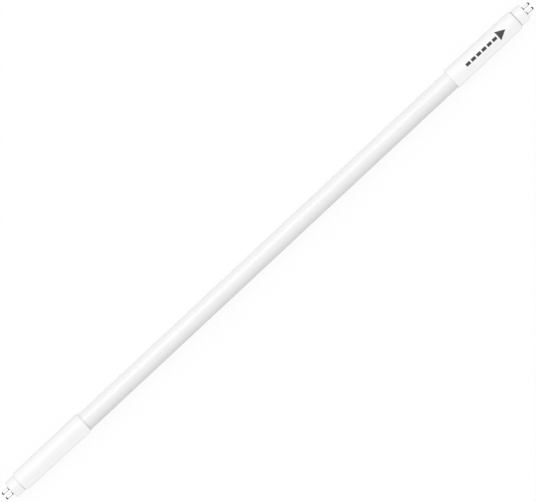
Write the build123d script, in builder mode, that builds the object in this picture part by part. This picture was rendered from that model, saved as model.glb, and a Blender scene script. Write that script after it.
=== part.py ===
from build123d import *
import math
import os

# Straight LED tube of T5 size with G5 bases. All sizes are in millimetres.
# X runs along the tube, Z is up when the tube lies with its light strip at the bottom,
# and the origin is on the axis, halfway between the two ends.

# Overall length, and the two-pin base of the G5 standard
face_to_face = 549.0
pin_length = 7.1
pin_d = 2.37
pin_pitch = 4.75
pin_tip_round = 0.9

# Glass tube
glass_d = 16.0
glass_wall = 0.9
glass_end_round = 0.3
glass_grip = 12.0

# End sleeves, drafted so that they open towards the glass
sleeve_length = 69.0
sleeve_mouth_d = 17.9
sleeve_end_d = 17.3
sleeve_mouth_round = 0.4
shoulder_length = 3.5
shoulder_height = 1.35
bay_d = 14.8
neck_d = 13.6
neck_length = 2.0
bond_gap = 0.25
seal_length = 9.0

# Base collars with the spigot that snaps into the sleeve
collar_length = 9.0
collar_d = 14.9
collar_face = 2.0
collar_round = 1.5
seam_groove_width = 0.5
seam_groove_depth = 0.5
spigot_length = 5.0
spigot_wall = 1.0
snap_height = 0.35
snap_width = 1.2
finger_gap = 1.2
finger_count = 4

# Contact pins behind and around the base face
flange_d = 3.2
flange_thickness = 0.8
flange_proud = 0.5
shank_behind_face = 1.0
tail_d = 1.0
tail_on_board = 4.0

# Light strip
strip_width = 9.6
strip_thickness = 1.0
strip_overhang = 6.0
bead_width = 6.0
bead_end_margin = 8.0
led_pitch = 8.0
led_end_margin = 4.0
led_length = 2.8
led_width = 3.5
led_height = 0.75
led_rim = 0.35
led_pocket_depth = 0.35

# Boards in the sleeves
board_width = 12.8
board_thickness = 1.0
board_into_glass = 4.5
board_corner_round = 0.8
tongue_width = 9.0
tongue_length = 6.0
rail_height = 0.8
rail_grip = 0.6
lead_hole_d = 1.0

# Header from each board down to the strip
header_pitch = 2.54
header_body = 2.54
header_pin = 0.64
header_from_end = 3.0
header_pin_proud = 0.8

# Clearances
moulded_gap = 0.1
fit_gap = 0.02
strip_gap = 0.1
part_gap = 0.03

# Places that follow from the sizes above, for the right-hand end
face_x = face_to_face / 2
seam_x = face_x - collar_length
mouth_x = seam_x - sleeve_length
glass_end_x = mouth_x + glass_grip
glass_r = glass_d / 2
glass_bore_r = glass_r - glass_wall
socket_r = glass_r + bond_gap
pin_r = pin_d / 2
board_top = -tail_d / 2 - fit_gap
board_bottom = board_top - board_thickness
spigot_r = neck_d / 2 - moulded_gap
cap_bore_r = spigot_r - spigot_wall
strip_bottom = -math.sqrt((glass_bore_r - strip_gap) ** 2 - (strip_width / 2) ** 2)
strip_top = strip_bottom + strip_thickness
strip_end_x = glass_end_x + strip_overhang
board_inner_x = glass_end_x - board_into_glass
board_outer_x = seam_x - spigot_length - moulded_gap
header_x = strip_end_x - header_from_end
sides = {"left": -1, "right": 1}

os.makedirs("parts", exist_ok=True)


def write(piece, name):
    """Labels a finished piece and writes its file."""
    piece.part.label = name
    export_step(piece.part, f"parts/{name}.step")


def write_both_ends(piece, name):
    """Writes the right-hand piece, and its mirror image at the left-hand end."""
    write(piece, f"right_{name}")
    with BuildPart() as twin:
        mirror(piece.part, about=Plane.YZ)
    write(twin, f"left_{name}")


# Glass tube, with its ends melted smooth
with BuildPart() as glass_tube:
    with BuildSketch(Plane.YZ.offset(-glass_end_x)):
        Circle(glass_r)
        Circle(glass_bore_r, mode=Mode.SUBTRACT)
    extrude(amount=2 * glass_end_x)
    fillet(glass_tube.edges().filter_by(GeomType.CIRCLE), glass_end_round)
write(glass_tube, "glass_tube")


# End sleeve: socket for the glass, stop shoulder, board bay with rails, and neck for the base collar
rail_z = [board_top + moulded_gap + rail_height / 2, board_bottom - moulded_gap - rail_height / 2]
rail_reach = board_width / 2 - rail_grip
bay_start_x = glass_end_x + moulded_gap
bay_end_x = seam_x - neck_length
rail_length = seam_x - spigot_length - moulded_gap - bay_start_x
shoulder_x = seam_x - shoulder_length
shoulder_foot_r = sleeve_end_d / 2 - shoulder_height

with BuildPart() as sleeve:
    with BuildSketch(Plane.XZ):
        with BuildLine():
            Polyline(
                (seam_x, shoulder_foot_r),
                (seam_x, neck_d / 2),
                (bay_end_x, neck_d / 2),
                (bay_end_x, bay_d / 2),
                (bay_start_x, bay_d / 2),
                (bay_start_x, socket_r),
                (mouth_x, socket_r),
                (mouth_x, sleeve_mouth_d / 2),
                (shoulder_x, sleeve_end_d / 2),
            )
            EllipticalCenterArc((shoulder_x, shoulder_foot_r), shoulder_length, shoulder_height, arc_size=90)
        make_face()
    revolve(axis=Axis.X)
    rims = sleeve.edges().filter_by(GeomType.CIRCLE).sort_by(SortBy.RADIUS)
    fillet(rims[-1], sleeve_mouth_round)
    with BuildSketch(Plane.YZ.offset(bay_start_x)):
        with Locations([(side * bay_d / 2, z) for side in sides.values() for z in rail_z]):
            Rectangle(bay_d - 2 * rail_reach, rail_height)
        Circle((bay_d / 2 + sleeve_end_d / 2) / 2, mode=Mode.INTERSECT)
    extrude(amount=rail_length)
write_both_ends(sleeve, "sleeve")


# Seal ring of adhesive that fills the gap between glass and sleeve
with BuildPart() as seal_ring:
    with BuildSketch(Plane.YZ.offset(mouth_x + (glass_grip - seal_length) / 2)):
        Circle(socket_r - fit_gap)
        Circle(glass_r + fit_gap, mode=Mode.SUBTRACT)
    extrude(amount=seal_length)
write_both_ends(seal_ring, "seal_ring")


# Base collar: a cup whose spigot ends in snap fingers that hook behind the sleeve's neck
snap_x = bay_end_x - moulded_gap
spigot_end_x = seam_x - spigot_length

with BuildPart() as collar:
    with BuildSketch(Plane.XZ):
        with BuildLine():
            Polyline(
                (spigot_end_x, cap_bore_r),
                (spigot_end_x, spigot_r),
                (snap_x - snap_width, spigot_r + snap_height),
                (snap_x, spigot_r + snap_height),
                (snap_x, spigot_r),
                (seam_x, spigot_r),
                (seam_x, collar_d / 2 - seam_groove_depth),
                (seam_x + seam_groove_width, collar_d / 2 - seam_groove_depth),
                (seam_x + seam_groove_width, collar_d / 2),
                (face_x, collar_d / 2),
                (face_x, 0),
                (face_x - collar_face, 0),
                (face_x - collar_face, cap_bore_r),
                close=True,
            )
        make_face()
    revolve(axis=Axis.X)
    fillet(collar.edges().filter_by(GeomType.CIRCLE).group_by(Axis.X)[-1], collar_round)
    with BuildSketch(Plane.YZ.offset(spigot_end_x)):
        with PolarLocations(spigot_r, finger_count, start_angle=180 / finger_count):
            Rectangle(2 * spigot_wall + snap_height, finger_gap)
    extrude(amount=spigot_length - moulded_gap, mode=Mode.SUBTRACT)
    with BuildSketch(Plane.YZ.offset(face_x)):
        with GridLocations(pin_pitch, 0, 2, 1):
            Circle(pin_r + fit_gap)
    extrude(amount=-collar_face, mode=Mode.SUBTRACT)
    with BuildSketch(Plane.YZ.offset(face_x)):
        with GridLocations(pin_pitch, 0, 2, 1):
            Circle(flange_d / 2 + moulded_gap)
    extrude(amount=-(flange_thickness - flange_proud), mode=Mode.SUBTRACT)
write_both_ends(collar, "base_collar")


# Contact pin: rounded tip, stop flange on the base face, shank through it, and tail on the board
flange_back_x = face_x - flange_thickness + flange_proud
shank_end_x = face_x - collar_face - shank_behind_face
tail_end_x = board_outer_x + tongue_length - tail_on_board


def contact_pin(y):
    """A contact pin of the right-hand base, turned about the line at this y."""
    with BuildPart() as pin:
        with BuildSketch(Plane.XZ.offset(-y)):
            with BuildLine():
                Polyline(
                    (tail_end_x, 0),
                    (tail_end_x, tail_d / 2),
                    (shank_end_x, tail_d / 2),
                    (shank_end_x, pin_r),
                    (flange_back_x, pin_r),
                    (flange_back_x, flange_d / 2),
                    (face_x + flange_proud, flange_d / 2),
                    (face_x + flange_proud, pin_r),
                    (face_x + pin_length, pin_r),
                    (face_x + pin_length, 0),
                    close=True,
                )
            make_face()
        revolve(axis=Axis((0, y, 0), (1, 0, 0)))
        fillet(pin.edges().filter_by(GeomType.CIRCLE).sort_by(Axis.X)[-1], pin_tip_round)
    return pin


write_both_ends(contact_pin(-pin_pitch / 2), "contact_pin_front")
write_both_ends(contact_pin(pin_pitch / 2), "contact_pin_back")


# Strip board, flat in the bottom of the glass with both long edges close to its wall
with BuildPart() as strip_board:
    with BuildSketch(Plane.XY.offset(strip_bottom)):
        Rectangle(2 * strip_end_x, strip_width)
    extrude(amount=strip_thickness)
write(strip_board, "strip_board")


# Bond bead between the strip board and the glass below it
bead_length = 2 * (glass_end_x - bead_end_margin)

with BuildPart() as bond_bead:
    with BuildSketch(Plane.YZ.offset(-bead_length / 2)):
        Circle(glass_bore_r - fit_gap)
        with Locations((0, strip_bottom - fit_gap - glass_r / 2)):
            Rectangle(bead_width, glass_r, mode=Mode.INTERSECT)
    extrude(amount=bead_length)
write(bond_bead, "bond_bead")


# Light chips along the strip: moulded housings, and the phosphor in the pocket of each
lit_length = 2 * (mouth_x - led_end_margin)
led_count = int(lit_length / led_pitch)
led_bottom = strip_top + fit_gap
led_top = led_bottom + led_height

with BuildPart() as led_housings:
    with BuildSketch(Plane.XY.offset(led_bottom)):
        with GridLocations(led_pitch, 0, led_count, 1):
            Rectangle(led_length, led_width)
    extrude(amount=led_height)
    with BuildSketch(Plane.XY.offset(led_top)):
        with GridLocations(led_pitch, 0, led_count, 1):
            Rectangle(led_length - 2 * led_rim, led_width - 2 * led_rim)
    extrude(amount=-led_pocket_depth, mode=Mode.SUBTRACT)
write(led_housings, "led_housings")

with BuildPart() as led_phosphor:
    with BuildSketch(Plane.XY.offset(led_top)):
        with GridLocations(led_pitch, 0, led_count, 1):
            Rectangle(led_length - 2 * (led_rim + fit_gap), led_width - 2 * (led_rim + fit_gap))
    extrude(amount=-(led_pocket_depth - fit_gap))
write(led_phosphor, "led_phosphor")


# Components on the boards
choke_d = 6.0
choke_height = 6.0
choke_flange = 0.8
choke_waist_d = 3.0
choke_winding_d = 5.2

film_cap_size = (9.0, 5.0, 5.5)
film_cap_lead_pitch = 7.5

rectifier_size = (4.7, 3.8, 1.4)
rectifier_leg_pitch = 2.5

varistor_d = 6.0
varistor_thickness = 3.2
varistor_lead_pitch = 4.0
varistor_stand = 0.5

fuse_length = 6.5
fuse_d = 2.8
fuse_lead_reach = 1.5

bulk_cap_length = 14.0
bulk_cap_d = 6.3
bulk_cap_groove = 0.35
bulk_cap_lead_pitch = 2.5
bulk_cap_lead_reach = 1.8

chip_size = (4.9, 3.9, 1.5)
chip_leg_pitch = 1.27

resistor_size = (1.6, 3.2, 0.55)
resistor_pitch = 3.6
resistor_count = 2

diode_size = (2.6, 4.3, 2.1)
diode_tab = (1.4, 0.8, 0.2)

body_edge_cut = 0.5
lead_d = 0.6
lead_bend = 0.8
lead_below = 0.9
leg_width = 0.4
leg_thickness = 0.2
leg_reach = 1.1
leg_foot = 0.6


def spread(lengths):
    """Places along a board for pieces of these lengths, with equal gaps between header and pin tails."""
    start = header_x + header_body / 2
    gap = (tail_end_x - start - sum(lengths)) / (len(lengths) + 1)
    places = []
    for length in lengths:
        places.append(start + gap + length / 2)
        start += gap + length
    return places


def round_lead(x, y, top):
    """Adds a straight lead from this height down through the board."""
    bottom = board_bottom - lead_below
    with BuildSketch(Plane.XY.offset(bottom)) as section:
        with Locations((x, y)):
            Circle(lead_d / 2)
    extrude(section.sketch, amount=top - bottom)


def bent_lead(x, y, z, reach):
    """Adds a lead that leaves along X and turns down through the board."""
    with BuildLine() as route:
        FilletPolyline(
            (x, y, z),
            (x + reach, y, z),
            (x + reach, y, board_bottom - lead_below),
            radius=lead_bend,
        )
    with BuildSketch(Plane(origin=route.line @ 0, z_dir=route.line % 0)) as section:
        Circle(lead_d / 2)
    sweep(section.sketch, path=route.line)


def gull_legs(x, size, pitch, count):
    """Adds the bent legs along both long sides of a flat moulded package."""
    body_z = board_top + fit_gap
    middle = body_z + size[2] / 2
    for way in (-1, 1):
        edge = way * (size[1] / 2 - leg_thickness)
        knee = way * (size[1] / 2 + leg_reach - leg_foot)
        toe = way * (size[1] / 2 + leg_reach)
        with BuildSketch(Plane.YZ.offset(x - (count - 1) * pitch / 2 - leg_width / 2)) as outline:
            with BuildLine():
                Polyline(
                    (edge, middle),
                    (knee + way * leg_thickness, middle),
                    (knee + way * leg_thickness, body_z + leg_thickness),
                    (toe, body_z + leg_thickness),
                    (toe, body_z),
                    (knee, body_z),
                    (knee, middle - leg_thickness),
                    (edge, middle - leg_thickness),
                    close=True,
                )
            make_face()
        legs = extrude(to_extrude=outline.sketch, amount=leg_width, mode=Mode.PRIVATE)
        for index in range(count):
            add(legs.moved(Location((index * pitch, 0, 0))))


def moulded_block(x, y, z, size, edge_round):
    """Adds a block that stands on this height, with its top edges rounded."""
    with BuildSketch(Plane.XY.offset(z)) as plan:
        with Locations((x, y)):
            Rectangle(size[0], size[1])
    block = extrude(plan.sketch, amount=size[2])
    fillet(block.faces().sort_by(Axis.Z)[-1].edges(), edge_round)


# Board outline: a rectangle held by the rails, and a tongue that reaches into the base collar
def board(side, lead_holes):
    """The board of one sleeve, drilled for the header and for these leads."""
    way = sides[side]
    main_length = board_outer_x - board_inner_x
    with BuildPart() as piece:
        with BuildSketch(Plane.XY.offset(board_bottom)) as outline:
            with Locations((way * (board_inner_x + main_length / 2), 0)):
                Rectangle(main_length, board_width)
            with Locations((way * (board_outer_x + tongue_length / 2), 0)):
                Rectangle(tongue_length, tongue_width)
            outer_corners = outline.vertices().group_by(Axis.X)[0] + outline.vertices().group_by(Axis.X)[-1]
            fillet(outer_corners, board_corner_round)
            with Locations((way * header_x, -header_pitch / 2), (way * header_x, header_pitch / 2)):
                Circle(lead_hole_d / 2, mode=Mode.SUBTRACT)
            with Locations(lead_holes):
                Circle(lead_hole_d / 2, mode=Mode.SUBTRACT)
        extrude(amount=board_thickness)
    return piece


# Header that joins each board to the strip board below it
header_height = board_bottom - strip_top - 2 * fit_gap

with BuildPart() as header_housing:
    with BuildSketch(Plane.XY.offset(strip_top + fit_gap)):
        with Locations((header_x, 0)):
            Rectangle(header_body, 2 * header_pitch)
        with Locations((header_x, -header_pitch / 2), (header_x, header_pitch / 2)):
            Rectangle(header_pin + 2 * fit_gap, header_pin + 2 * fit_gap, mode=Mode.SUBTRACT)
    extrude(amount=header_height)
write_both_ends(header_housing, "header_housing")

with BuildPart() as header_pins:
    with BuildSketch(Plane.XY.offset(strip_top + fit_gap)):
        with Locations((header_x, -header_pitch / 2), (header_x, header_pitch / 2)):
            Rectangle(header_pin, header_pin)
    extrude(amount=board_top + header_pin_proud - strip_top)
write_both_ends(header_pins, "header_pins")


# Drum core and winding, used by the choke and by the power inductor
drum_z = board_top + fit_gap
winding_z = drum_z + choke_flange + fit_gap
winding_height = choke_height - 2 * (choke_flange + fit_gap)


def drum_core(x):
    """A ferrite drum that stands on the board."""
    with BuildPart() as core:
        with BuildSketch(Plane.XY.offset(drum_z)):
            with Locations((x, 0)):
                Circle(choke_waist_d / 2)
        extrude(amount=choke_height)
        for level in (drum_z, drum_z + choke_height - choke_flange):
            with BuildSketch(Plane.XY.offset(level)):
                with Locations((x, 0)):
                    Circle(choke_d / 2)
            extrude(amount=choke_flange)
    return core


def drum_winding(x):
    """The wire wound on a drum, as one ring."""
    with BuildPart() as winding:
        with BuildSketch(Plane.XY.offset(winding_z)):
            with Locations((x, 0)):
                Circle(choke_winding_d / 2)
                Circle(choke_waist_d / 2 + fit_gap, mode=Mode.SUBTRACT)
        extrude(amount=winding_height)
    return winding


# Left sleeve: the input board with what protects, rectifies and filters the supply
fuse_span = fuse_length + 2 * fuse_lead_reach
input_lengths = [choke_d, film_cap_size[0], rectifier_size[0], varistor_d, fuse_span + lead_d]
choke_x, film_cap_x, rectifier_x, varistor_x, fuse_x = [-place for place in spread(input_lengths)]
film_cap_leads = [(film_cap_x + step * film_cap_lead_pitch / 2, 0) for step in (-1, 1)]
varistor_leads = [(varistor_x + step * varistor_lead_pitch / 2, 0) for step in (-1, 1)]
fuse_leads = [(fuse_x + step * fuse_span / 2, 0) for step in (-1, 1)]

write(board("left", film_cap_leads + varistor_leads + fuse_leads), "input_board")
write(drum_core(choke_x), "choke_core")
write(drum_winding(choke_x), "choke_winding")

with BuildPart() as film_capacitor:
    moulded_block(film_cap_x, 0, board_top + part_gap, film_cap_size, body_edge_cut)
    for lead_x, lead_y in film_cap_leads:
        round_lead(lead_x, lead_y, board_top + 2 * lead_d)
write(film_capacitor, "film_capacitor")

with BuildPart() as bridge_rectifier:
    moulded_block(rectifier_x, 0, board_top + part_gap, rectifier_size, leg_thickness)
    gull_legs(rectifier_x, rectifier_size, rectifier_leg_pitch, 2)
write(bridge_rectifier, "bridge_rectifier")

with BuildPart() as varistor:
    varistor_z = board_top + varistor_stand + varistor_d / 2
    with BuildSketch(Plane.XZ.offset(-varistor_thickness / 2)):
        with Locations((varistor_x, varistor_z)):
            Circle(varistor_d / 2)
    extrude(amount=varistor_thickness)
    chamfer(varistor.edges().filter_by(GeomType.CIRCLE), body_edge_cut)
    for lead_x, lead_y in varistor_leads:
        round_lead(lead_x, lead_y, varistor_z)
write(varistor, "surge_varistor")

with BuildPart() as fuse_resistor:
    fuse_z = board_top + part_gap + fuse_d / 2
    with BuildSketch(Plane.YZ.offset(fuse_x - fuse_length / 2)):
        with Locations((0, fuse_z)):
            Circle(fuse_d / 2)
    extrude(amount=fuse_length)
    chamfer(fuse_resistor.edges().filter_by(GeomType.CIRCLE), body_edge_cut)
    for step in (-1, 1):
        bent_lead(fuse_x + step * (fuse_length / 2 - lead_d), 0, fuse_z, step * (fuse_lead_reach + lead_d))
write(fuse_resistor, "fuse_resistor")


# Right sleeve: the driver board with what stores, switches and steadies the current
bulk_cap_span = bulk_cap_length + bulk_cap_lead_reach + lead_d / 2
driver_lengths = [bulk_cap_span, chip_size[0], resistor_size[0], choke_d, diode_size[0]]
bulk_span_x, chip_x, resistor_x, inductor_x, diode_x = spread(driver_lengths)
bulk_cap_x = bulk_span_x - (bulk_cap_span - bulk_cap_length) / 2
bulk_cap_end_x = bulk_cap_x + bulk_cap_length / 2
bulk_lead_x = bulk_cap_end_x + bulk_cap_lead_reach
bulk_cap_leads = [(bulk_lead_x, step * bulk_cap_lead_pitch / 2) for step in (-1, 1)]

write(board("right", bulk_cap_leads), "driver_board")
write(drum_core(inductor_x), "inductor_core")
write(drum_winding(inductor_x), "inductor_winding")

with BuildPart() as bulk_capacitor:
    bulk_cap_z = board_top + part_gap + bulk_cap_d / 2
    with BuildSketch(Plane.XZ):
        with Locations((bulk_cap_x, bulk_cap_z + bulk_cap_d / 4)):
            Rectangle(bulk_cap_length, bulk_cap_d / 2)
        with Locations((bulk_cap_end_x - 5 * bulk_cap_groove, bulk_cap_z + bulk_cap_d / 2)):
            Circle(bulk_cap_groove, mode=Mode.SUBTRACT)
    revolve(axis=Axis((0, 0, bulk_cap_z), (1, 0, 0)))
    chamfer(bulk_capacitor.faces().sort_by(Axis.X)[0].edges(), bulk_cap_groove)
    for lead_x, lead_y in bulk_cap_leads:
        bent_lead(bulk_cap_end_x - lead_d, lead_y, bulk_cap_z, bulk_cap_lead_reach + lead_d)
write(bulk_capacitor, "bulk_capacitor")

with BuildPart() as driver_chip:
    moulded_block(chip_x, 0, board_top + part_gap, chip_size, leg_thickness)
    gull_legs(chip_x, chip_size, chip_leg_pitch, 4)
write(driver_chip, "driver_chip")

with BuildPart() as sense_resistors:
    for index in range(resistor_count):
        across = (index - (resistor_count - 1) / 2) * resistor_pitch
        moulded_block(resistor_x, across, board_top + fit_gap, resistor_size, leg_thickness / 2)
write(sense_resistors, "sense_resistors")

with BuildPart() as diode:
    moulded_block(diode_x, 0, board_top + part_gap, diode_size, leg_thickness)
    with BuildSketch(Plane.XY.offset(board_top + fit_gap)):
        with GridLocations(0, diode_size[1] + diode_tab[1] / 2, 1, 2):
            with Locations((diode_x, 0)):
                Rectangle(diode_tab[0], diode_tab[1] * 2)
    extrude(amount=diode_tab[2])
write(diode, "output_diode")
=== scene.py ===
import math

import bpy
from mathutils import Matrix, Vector


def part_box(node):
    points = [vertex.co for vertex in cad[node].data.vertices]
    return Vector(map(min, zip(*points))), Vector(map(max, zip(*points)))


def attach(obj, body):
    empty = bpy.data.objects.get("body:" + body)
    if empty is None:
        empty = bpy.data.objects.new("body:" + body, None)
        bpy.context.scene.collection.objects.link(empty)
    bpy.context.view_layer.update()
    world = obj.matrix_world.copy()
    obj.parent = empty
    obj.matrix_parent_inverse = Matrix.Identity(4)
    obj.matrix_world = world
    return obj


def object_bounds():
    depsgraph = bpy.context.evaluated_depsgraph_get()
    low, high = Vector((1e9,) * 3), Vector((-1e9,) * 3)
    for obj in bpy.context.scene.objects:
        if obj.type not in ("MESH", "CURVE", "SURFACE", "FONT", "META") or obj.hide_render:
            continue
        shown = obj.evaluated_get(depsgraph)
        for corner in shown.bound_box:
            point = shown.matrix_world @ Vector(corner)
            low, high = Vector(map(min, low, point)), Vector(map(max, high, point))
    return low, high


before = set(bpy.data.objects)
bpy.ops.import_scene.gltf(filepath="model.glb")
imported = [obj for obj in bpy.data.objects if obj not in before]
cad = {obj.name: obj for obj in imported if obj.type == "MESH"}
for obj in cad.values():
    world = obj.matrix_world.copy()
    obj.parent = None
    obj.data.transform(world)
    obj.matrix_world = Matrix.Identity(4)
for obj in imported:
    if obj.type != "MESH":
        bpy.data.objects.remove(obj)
cad_low, cad_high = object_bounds()
scene = bpy.context.scene

# All places and sizes are in metres
MM = 0.001

# The picture is 536 by 502 points and shows 1.279 points for each millimetre of tube
POINT = 1 / 1279
PICTURE_WIDTH = 536 * POINT
TUBE_TILT = math.radians(43.02)
RIGHT = Vector((math.cos(TUBE_TILT), -math.sin(TUBE_TILT), 0))
UP = Vector((math.sin(TUBE_TILT), math.cos(TUBE_TILT), 0))

# Places at the right-hand end of the tube, which the outside of the left-hand end mirrors
sleeve_low, sleeve_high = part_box("right_sleeve")
mouth_r = sleeve_high.z
seam_x = sleeve_high.x
face_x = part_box("right_base_collar")[1].x

# Height of the top of both boards
board_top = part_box("input_board")[1].z

# Sizes that the boxes of the nodes don't show
SEAM_GROOVE = 0.5 * MM
SHOULDER = 3.5 * MM
SLEEVE_DRAFT = 0.3 * MM
RECTIFIER_WIDTH = 3.8 * MM
CHIP_WIDTH = 3.9 * MM
DIODE_WIDTH = 4.3 * MM
CAPACITOR_LENGTH = 14 * MM
VARISTOR_STAND = 0.5 * MM
FUSE_LENGTH = 6.5 * MM

# Noise is mostly between these values
NOISE_LOW = 0.3
NOISE_HIGH = 0.7

# Nodes that share a material
WHITE_PARTS = ("left_sleeve", "right_sleeve", "left_base_collar", "right_base_collar")
PINS = [f"{end}_contact_pin_{side}" for end in ("left", "right") for side in ("front", "back")]


# Helpers for materials
def fill(tree, node, **inputs):
    """Gives a node's inputs, named with _ for a space, their values. Sockets are linked."""
    for words, value in inputs.items():
        socket = node.inputs[words.replace("_", " ")]
        if isinstance(value, bpy.types.NodeSocket):
            tree.links.new(value, socket)
        else:
            socket.default_value = value


def new_node(tree, kind, **inputs):
    """A node of that kind, with its inputs filled."""
    made = tree.nodes.new("ShaderNode" + kind)
    fill(tree, made, **inputs)
    return made


def new_material(name, color, roughness, **inputs):
    """A material with one Principled shader, its node tree and the shader."""
    made = bpy.data.materials.new(name)
    made.use_nodes = True
    tree = made.node_tree
    shader = tree.nodes["Principled BSDF"]
    fill(tree, shader, Base_Color=(*color, 1), Roughness=roughness, **inputs)
    return made, tree, shader


def grey(value):
    """A grey colour."""
    return (value, value, value)


def place(tree, stretch=(1, 1, 1)):
    """Object coordinates, stretched."""
    coords = new_node(tree, "TexCoord")
    return new_node(tree, "Mapping", Vector=coords.outputs["Object"], Scale=stretch).outputs["Vector"]


def noise(tree, where, scale, detail, roughness=0.5):
    """Noise with features of about 1 / scale metres."""
    return new_node(
        tree, "TexNoise", Vector=where, Scale=scale, Detail=detail, Roughness=roughness
    ).outputs["Fac"]


def wave(tree, where, axis, scale, distortion):
    """Bands that follow each other along one axis."""
    made = new_node(tree, "TexWave", Vector=where, Scale=scale, Distortion=distortion)
    made.bands_direction = axis
    return made.outputs["Fac"]


def ramp(tree, value, first, second, start=NOISE_LOW, end=NOISE_HIGH):
    """A colour that goes from the first to the second as the value goes from start to end."""
    made = new_node(tree, "ValToRGB", Fac=value)
    for element, position, color in zip(made.color_ramp.elements, (start, end), (first, second)):
        element.position = position
        element.color = (*color, 1)
    return made.outputs["Color"]


def span(tree, value, start, end, low=0.0, high=1.0):
    """A number from low to high as the value goes from start to end."""
    return new_node(
        tree, "MapRange", Value=value, From_Min=start, From_Max=end, To_Min=low, To_Max=high
    ).outputs["Result"]


def vary(tree, value, low, high):
    """A number that noise moves from low to high."""
    return span(tree, value, NOISE_LOW, NOISE_HIGH, low, high)


def maths(tree, operation, *values):
    """A Math node. Each value is a socket or a number."""
    made = new_node(tree, "Math")
    made.operation = operation
    for socket, value in zip(made.inputs, values):
        if isinstance(value, (int, float)):
            socket.default_value = value
        else:
            tree.links.new(value, socket)
    return made.outputs[0]


def blend_colors(tree, factor, first, second):
    """First colour where the factor is 0, second where it is 1."""
    made = new_node(tree, "Mix", Factor=factor)
    made.data_type = "RGBA"
    for socket, value in ((made.inputs[6], first), (made.inputs[7], second)):
        if isinstance(value, tuple):
            socket.default_value = (*value, 1)
        else:
            tree.links.new(value, socket)
    return made.outputs[2]


def axis_value(tree, axis):
    """The object coordinate along one axis, X, Y or Z."""
    coords = new_node(tree, "TexCoord")
    return new_node(tree, "SeparateXYZ", Vector=coords.outputs["Object"]).outputs[axis]


def from_middle(tree):
    """The distance from the tube's middle, along the tube."""
    return maths(tree, "ABSOLUTE", axis_value(tree, "X"))


def away_from(tree, axis, middle, near, far):
    """0 where the distance along the axis from the middle is near, and 1 where it is far."""
    offset = maths(tree, "ABSOLUTE", maths(tree, "SUBTRACT", axis_value(tree, axis), middle))
    return span(tree, offset, near, far)


def bump(tree, shader, height, depth, strength, below=None):
    """Surface relief of that depth, on top of the relief below it."""
    made = new_node(tree, "Bump", Height=height, Distance=depth, Strength=strength)
    if below is not None:
        fill(tree, made, Normal=below)
    fill(tree, shader, Normal=made.outputs["Normal"])
    return made.outputs["Normal"]


def grainy(name, dark, light, rough, size, depth, **inputs):
    """A material whose colour, roughness and relief vary with grain of about that size."""
    made, tree, shader = new_material(name, light, rough[0], **inputs)
    where = place(tree)
    cloud = noise(tree, where, scale=0.06 / size, detail=2)
    grain = noise(tree, where, scale=1 / size, detail=3, roughness=0.6)
    tone = maths(tree, "ADD", maths(tree, "MULTIPLY", cloud, 0.5), maths(tree, "MULTIPLY", grain, 0.5))
    tint = ramp(tree, tone, dark, light, start=0.35, end=0.65)
    fill(tree, shader, Base_Color=tint, Roughness=vary(tree, grain, *rough))
    bump(tree, shader, grain, depth, strength=0.5)
    return made, tree, shader, tint


def dress(material, *names):
    """Gives nodes of the model their material."""
    for name in names:
        mesh = cad[name].data
        mesh.materials.clear()
        mesh.materials.append(material)


def plain(name, *nodes, **look):
    """Dresses nodes in a material that is grain all over."""
    dress(grainy(name, **look)[0], *nodes)


def with_leads(name, node, metal, **look):
    """Dresses a body with leads: grain, and tinned metal where metal(tree) is 1."""
    made, tree, shader, tint = grainy(name, **look)
    mask = metal(tree)
    streaks = noise(tree, place(tree), scale=4000, detail=3)
    shine = ramp(tree, streaks, (0.663, 0.646, 0.612), (0.78, 0.76, 0.72))
    mixed = new_node(tree, "Mix", Factor=mask)
    tree.links.new(shader.inputs["Roughness"].links[0].from_socket, mixed.inputs[2])
    mixed.inputs[3].default_value = 0.28
    fill(
        tree, shader,
        Base_Color=blend_colors(tree, mask, tint, shine), Metallic=mask, Roughness=mixed.outputs[0],
    )
    dress(made, node)


def past_both_ends(node, axis, body, start, end):
    """Metal past both ends of the node's body: none as far as start past it, and all from end on."""
    low, high = (corner["XYZ".index(axis)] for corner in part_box(node))
    return lambda tree: away_from(tree, axis, (low + high) / 2, body / 2 + start, body / 2 + end)


def past_one_end(axis, near, step):
    """Metal past one end of a body: none as far as near, and all a step further on."""
    return lambda tree: span(tree, axis_value(tree, axis), near, near + step)


# Outside of the tube
def frosted_glass():
    """Glass, smooth outside over a white diffusing coat."""
    made, tree, shader = new_material(
        "frosted_glass", grey(0.885), 0.5, IOR=1.5, Coat_Weight=1.0, Coat_Roughness=0.24
    )
    where = place(tree)
    cloud = noise(tree, where, scale=90, detail=2)
    frost = noise(tree, where, scale=5200, detail=4, roughness=0.6)
    tint = ramp(tree, cloud, grey(0.875), grey(0.895))
    # Painted shade: a thin grey ring on the glass just past the left-hand sleeve's mouth, where the sleeve's
    # shadow falls
    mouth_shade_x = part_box("left_sleeve")[1].x + 1.1 * MM
    painted_mouth_shade = away_from(tree, "X", mouth_shade_x, near=0.7 * MM, far=0.4 * MM)
    painted_mouth_shade = maths(tree, "MULTIPLY", painted_mouth_shade, 0.26)
    tint = blend_colors(tree, painted_mouth_shade, tint, grey(0.5))
    fill(tree, shader, Base_Color=tint, Roughness=vary(tree, frost, low=0.45, high=0.6))
    bump(tree, shader, frost, depth=0.012 * MM, strength=0.5)
    return made


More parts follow.
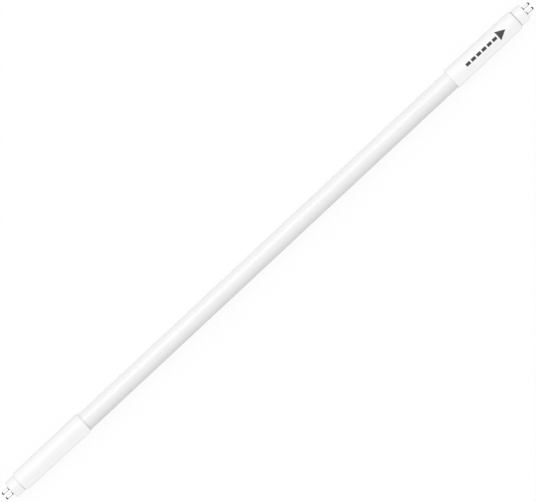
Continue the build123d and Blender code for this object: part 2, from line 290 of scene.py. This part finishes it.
def white_plastic():
    """Moulded plastic with fine spark-eroded grain, and painted shade in the groove at the seam."""
    made, tree, shader = new_material("white_plastic", (0.93, 0.93, 0.925), 0.36, IOR=1.48)
    where = place(tree)
    cloud = noise(tree, where, scale=60, detail=2)
    grain = noise(tree, where, scale=3600, detail=3, roughness=0.55)
    tint = ramp(tree, cloud, (0.92, 0.92, 0.918), (0.94, 0.94, 0.939))
    along = from_middle(tree)
    edge = 0.02 * MM
    start = span(tree, along, seam_x - edge, seam_x)
    end = span(tree, along, seam_x + SEAM_GROOVE, seam_x + SEAM_GROOVE - edge)
    # Painted shade in the seam's groove: darker at the right-hand end, and faint on the +Y side of the
    # left-hand seam
    left_painted_seam_shade = span(tree, axis_value(tree, "Y"), start=-2 * MM, end=2 * MM, low=0.72, high=0.93)
    rightness = span(tree, axis_value(tree, "X"), start=-0.1, end=0.1)
    painted_seam_shade = blend_colors(tree, rightness, left_painted_seam_shade, grey(0.46))
    tint = blend_colors(tree, maths(tree, "MULTIPLY", start, end), tint, painted_seam_shade)
    fill(tree, shader, Base_Color=tint, Roughness=vary(tree, grain, low=0.3, high=0.42))
    bump(tree, shader, grain, depth=0.01 * MM, strength=0.4)
    return made


def nickel_pin():
    """Nickel plate, drawn lengthwise, with a painted dark reflection on its tip, and painted shade where it
    leaves the collar.
    """
    made, tree, shader = new_material("nickel_pin", (0.87, 0.865, 0.855), 0.2, Metallic=1.0)
    streaks = noise(tree, place(tree, stretch=(0.12, 1, 1)), scale=9000, detail=3, roughness=0.6)
    tint = ramp(tree, streaks, (0.84, 0.835, 0.825), (0.92, 0.915, 0.905))
    along = from_middle(tree)
    # Painted dark reflection on the rounded tip, and painted shade round the foot where the pin leaves the
    # collar
    tip = span(tree, along, start=face_x + 5.45 * MM, end=face_x + 6.0 * MM)
    foot = span(tree, along, start=face_x + 1.25 * MM, end=face_x + 0.85 * MM, high=0.85)
    outside = span(tree, along, start=face_x - 0.3 * MM, end=face_x - 0.05 * MM)
    painted_dark_tip_and_foot = maths(tree, "MAXIMUM", tip, maths(tree, "MULTIPLY", foot, outside))
    painted_dark_color = ramp(tree, streaks, (0.07, 0.07, 0.069), (0.11, 0.109, 0.107))
    dull = maths(tree, "MULTIPLY", painted_dark_tip_and_foot, 0.04)
    fill(
        tree, shader,
        Base_Color=blend_colors(tree, painted_dark_tip_and_foot, tint, painted_dark_color),
        Roughness=maths(tree, "ADD", vary(tree, streaks, low=0.14, high=0.3), dull),
    )
    bump(tree, shader, streaks, depth=0.006 * MM, strength=0.4)
    return made


dress(frosted_glass(), "glass_tube")
dress(white_plastic(), *WHITE_PARTS)
dress(nickel_pin(), *PINS)

# Silicone, milky and soft
plain(
    "clear_silicone", "left_seal_ring", "right_seal_ring", "bond_bead",
    dark=(0.8, 0.81, 0.8), light=(0.88, 0.89, 0.88), rough=(0.3, 0.42), size=1.2 * MM, depth=0.03 * MM,
    Transmission_Weight=0.35,
)


# Circuit boards
def board_material(name, coat, track, rough):
    """Coated glass cloth, with lighter tracks under the coat, 14 mm long and 1.25 mm wide."""
    made, tree, shader = new_material(name, coat, rough[0])
    where = place(tree)
    tracks = new_node(
        tree, "TexBrick", Vector=where, Scale=160, Brick_Width=2.3, Row_Height=0.2, Mortar_Size=0.035,
        Color1=(*track, 1), Color2=(*track, 1), Mortar=(*coat, 1),
    )
    tracks.offset_frequency = 3
    threads = [wave(tree, where, axis, scale=900, distortion=0.6) for axis in ("X", "Y")]
    weave = maths(tree, "MULTIPLY", *threads)
    fill(tree, shader, Base_Color=tracks.outputs["Color"], Roughness=span(tree, weave, 0, 1, *rough))
    relief = bump(tree, shader, tracks.outputs["Fac"], depth=-0.03 * MM, strength=0.6)
    bump(tree, shader, weave, depth=0.01 * MM, strength=0.4, below=relief)
    return made


white = board_material("white_board", coat=(0.86, 0.86, 0.84), track=(0.91, 0.91, 0.89), rough=(0.38, 0.5))
dress(white, "strip_board")
green = board_material("green_board", coat=(0.02, 0.14, 0.06), track=(0.035, 0.24, 0.1), rough=(0.25, 0.4))
dress(green, "input_board", "driver_board")

# Light chips
plain(
    "chip_housing", "led_housings",
    dark=(0.82, 0.81, 0.76), light=(0.89, 0.88, 0.84), rough=(0.45, 0.6), size=0.15 * MM, depth=0.01 * MM,
)
plain(
    "phosphor", "led_phosphor",
    dark=(0.86, 0.62, 0.1), light=(0.95, 0.78, 0.22), rough=(0.35, 0.5), size=0.06 * MM, depth=0.01 * MM,
    Coat_Weight=0.3,
)

# Moulded black parts, with tinned legs outside their bodies. The sense resistors are black all over.
RESIN = {
    "dark": (0.018, 0.018, 0.019),
    "light": (0.04, 0.04, 0.042),
    "rough": (0.45, 0.65),
    "size": 0.12 * MM,
    "depth": 0.012 * MM,
}
for name, node, width in (
    ("rectifier_resin", "bridge_rectifier", RECTIFIER_WIDTH),
    ("chip_resin", "driver_chip", CHIP_WIDTH),
    ("diode_resin", "output_diode", DIODE_WIDTH),
):
    with_leads(name, node, past_both_ends(node, "Y", width, 0.01 * MM, 0.03 * MM), **RESIN)
plain("resistor_resin", "sense_resistors", **RESIN)

# Headers
plain(
    "header_plastic", "left_header_housing", "right_header_housing",
    dark=(0.02, 0.02, 0.021), light=(0.045, 0.045, 0.047), rough=(0.4, 0.55), size=0.3 * MM, depth=0.01 * MM,
)
plain(
    "tinned_wire", "left_header_pins", "right_header_pins",
    dark=(0.62, 0.6, 0.55), light=(0.8, 0.78, 0.72), rough=(0.2, 0.35), size=0.2 * MM, depth=0.01 * MM,
    Metallic=1.0,
)

# Ferrite cores and their windings, whose turns replace the relief of the grain
plain(
    "ferrite", "choke_core", "inductor_core",
    dark=(0.03, 0.03, 0.032), light=(0.09, 0.088, 0.086), rough=(0.5, 0.75), size=0.1 * MM, depth=0.02 * MM,
)
copper, tree, shader, *_ = grainy(
    "copper_wire",
    dark=(0.42, 0.16, 0.06), light=(0.66, 0.3, 0.12), rough=(0.2, 0.32), size=0.4 * MM, depth=0.01 * MM,
    Metallic=1.0, Coat_Weight=0.5,
)
turns = wave(tree, place(tree), "Z", scale=1100, distortion=0.3)
bump(tree, shader, turns, depth=0.12 * MM, strength=0.9)
dress(copper, "choke_winding", "inductor_winding")

# Coated parts, with tinned leads past their bodies
LEAD_EDGE = 0.05 * MM
capacitor_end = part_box("bulk_capacitor")[0].x + CAPACITOR_LENGTH
with_leads(
    "capacitor_sleeve", "bulk_capacitor", past_one_end("X", capacitor_end + LEAD_EDGE, LEAD_EDGE),
    dark=(0.012, 0.02, 0.05), light=(0.02, 0.035, 0.085), rough=(0.2, 0.3), size=0.5 * MM, depth=0.015 * MM,
)
with_leads(
    "film_case", "film_capacitor", past_one_end("Z", board_top - 0.01 * MM, -LEAD_EDGE),
    dark=(0.6, 0.36, 0.03), light=(0.72, 0.46, 0.05), rough=(0.3, 0.42), size=0.5 * MM, depth=0.015 * MM,
)
with_leads(
    "varistor_coat", "surge_varistor", past_one_end("Z", board_top + VARISTOR_STAND, -LEAD_EDGE),
    dark=(0.02, 0.08, 0.3), light=(0.04, 0.14, 0.45), rough=(0.2, 0.35), size=0.5 * MM, depth=0.015 * MM,
)
with_leads(
    "resistor_coat", "fuse_resistor", past_both_ends("fuse_resistor", "X", FUSE_LENGTH, 0, LEAD_EDGE),
    dark=(0.14, 0.3, 0.25), light=(0.22, 0.42, 0.36), rough=(0.45, 0.6), size=0.5 * MM, depth=0.02 * MM,
)

# Printed mark on the right-hand sleeve: a row of bars that leads to an arrowhead, wrapped on the sleeve
INK_DEPTH = 0.02 * MM
MARK_START = 212 * MM
BAR_COUNT = 6
BAR_LENGTH = 4.2 * MM
BAR_PITCH = 5.6 * MM
BAR_HALF_WIDTH = 1.3 * MM
HEAD_LENGTH = 8 * MM
HEAD_HALF_WIDTH = 4.2 * MM
ROWS = 24
ink, *_ = grainy(
    "dark_ink",
    dark=(0.035, 0.035, 0.038), light=(0.06, 0.06, 0.063),
    rough=(0.4, 0.55), size=0.2 * MM, depth=0.004 * MM,
)


def sleeve_radius(x):
    """Outside radius of the right-hand sleeve at this x."""
    share = (x - sleeve_low.x) / (seam_x - SHOULDER - sleeve_low.x)
    return mouth_r - SLEEVE_DRAFT * share


def wrapped(name, outline):
    """Ink on the sleeve. For a share from 0 to 1, the outline gives a y and the two ends in x there."""
    points = []
    for height in (INK_DEPTH, 0.0):
        for i in range(ROWS + 1):
            y, ends = outline(i / ROWS)
            for x in ends:
                r = sleeve_radius(x) + height
                points.append((x, y, math.sqrt(r * r - y * y)))
    under = 2 * (ROWS + 1)
    faces = []
    last = 2 * ROWS
    for a in range(0, last, 2):
        faces.append((a, a + 1, a + 3, a + 2))
        faces.append((under + a, under + a + 2, under + a + 3, under + a + 1))
        faces.append((a, a + 2, under + a + 2, under + a))
        faces.append((a + 1, under + a + 1, under + a + 3, a + 3))
    faces.append((0, under, under + 1, 1))
    faces.append((last, last + 1, under + last + 1, under + last))
    mesh = bpy.data.meshes.new(name)
    mesh.from_pydata(points, [], faces)
    mesh.materials.append(ink)
    made = bpy.data.objects.new(name, mesh)
    scene.collection.objects.link(made)
    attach(made, "root")


def bar(start):
    """Outline of a plain bar."""
    return lambda share: ((2 * share - 1) * BAR_HALF_WIDTH, (start, start + BAR_LENGTH))


def arrowhead(start):
    """Outline of a triangle that points to the pins. Its two back corners keep a sliver of length."""

    def outline(share):
        across = 2 * share - 1
        return across * HEAD_HALF_WIDTH, (start, start + HEAD_LENGTH * (1 - 0.995 * abs(across)))

    return outline


for i in range(BAR_COUNT):
    wrapped(f"mark_bar_{i + 1}", bar(MARK_START + i * BAR_PITCH))
wrapped("mark_arrowhead", arrowhead(MARK_START + BAR_COUNT * BAR_PITCH))


# Floor and world
def empty_tree(owner):
    """The node tree of a material or world, emptied."""
    owner.use_nodes = True
    owner.node_tree.nodes.clear()
    return owner.node_tree


def mix_shaders(tree, factor, first, second, output):
    """Gives the output the first shader where the factor is 0, the second where it is 1."""
    both = new_node(tree, "MixShader", Fac=factor)
    tree.links.new(first.outputs[0], both.inputs[1])
    tree.links.new(second.outputs[0], both.inputs[2])
    new_node(tree, output, Surface=both.outputs[0])


def fill_paper(paper):
    """White paper that takes shadows, and is whiter to the camera and through glass than to the object."""
    tree = empty_tree(paper)
    rays = new_node(tree, "LightPath").outputs
    matt = new_node(tree, "BsdfDiffuse", Color=span(tree, rays["Is Camera Ray"], 0, 1, low=0.6, high=0.97))
    glow = new_node(tree, "Emission", Strength=1.0)
    seen = maths(tree, "MAXIMUM", rays["Is Camera Ray"], rays["Is Transmission Ray"])
    seen = maths(tree, "MAXIMUM", seen, maths(tree, "MULTIPLY", rays["Is Glossy Ray"], 0.35))
    mix_shaders(tree, maths(tree, "MULTIPLY", seen, 0.9), matt, glow, "OutputMaterial")


def fill_room(world):
    """White to the camera, and to the object a soft pale room that is dim low down on the -Y side."""
    tree = empty_tree(world)
    coords = new_node(tree, "TexCoord")
    way = new_node(tree, "SeparateXYZ", Vector=coords.outputs["Generated"]).outputs
    light = span(tree, way["Y"], start=-0.95, end=-0.5, low=0.64, high=0.83)
    room = new_node(tree, "Background", Color=(1, 1, 1, 1), Strength=light)
    white = new_node(tree, "Background", Color=(1, 1, 1, 1), Strength=1.0)
    rays = new_node(tree, "LightPath").outputs
    mix_shaders(tree, rays["Is Camera Ray"], room, white, "OutputWorld")


REACH = 4.0
floor_mesh = bpy.data.meshes.new("floor")
corners = ((-REACH, -REACH), (REACH, -REACH), (REACH, REACH), (-REACH, REACH))
floor_mesh.from_pydata([(x, y, cad_low.z) for x, y in corners], [], [(0, 1, 2, 3)])
floor = bpy.data.objects.new("floor", floor_mesh)
scene.collection.objects.link(floor)
paper = bpy.data.materials.new("paper")
fill_paper(paper)
floor_mesh.materials.append(paper)

scene.world = bpy.data.worlds.new("room")
fill_room(scene.world)


# Lamps
def soft_sun(name, direction, width, strength):
    """An even light from that direction, as wide as that angle in degrees."""
    data = bpy.data.lights.new(name, "SUN")
    data.angle = math.radians(width)
    data.energy = strength
    made = bpy.data.objects.new(name, data)
    made.rotation_mode = "QUATERNION"
    made.rotation_quaternion = direction.to_track_quat("Z", "Y")
    scene.collection.objects.link(made)
    return made


def under_light(name, direction, strength, nodes):
    """A light that comes up through the floor, as on a light table, and falls on these nodes only."""
    made = soft_sun(name, direction, width=50, strength=strength)
    lit = bpy.data.collections.new(name)
    for node in nodes:
        lit.objects.link(cad[node])
    made.light_linking.receiver_collection = lit
    made.light_linking.blocker_collection = lit


soft_sun("key", Vector((-0.2, 0.47, 0.88)), width=40, strength=0.72)
under_light("table_right", Vector((0, -1, -0.22)), strength=0.76, nodes=WHITE_PARTS)
under_light("table_left", Vector((0, 1, -0.7)), strength=1.1, nodes=("glass_tube",))

# Camera, straight down. A small shift puts the tube where the picture has it.
LENS = 400
SENSOR = 36
shift = (0.3 * RIGHT - 0.1 * UP) * POINT
camera_data = bpy.data.cameras.new("camera")
camera_data.lens = LENS
camera_data.sensor_width = SENSOR
camera_data.clip_end = 100
camera = bpy.data.objects.new("camera", camera_data)
camera.location = shift + Vector((0, 0, PICTURE_WIDTH * LENS / SENSOR))
camera.rotation_euler = (0, 0, -TUBE_TILT)
scene.collection.objects.link(camera)
scene.camera = camera

scene.view_settings.view_transform = "Standard"
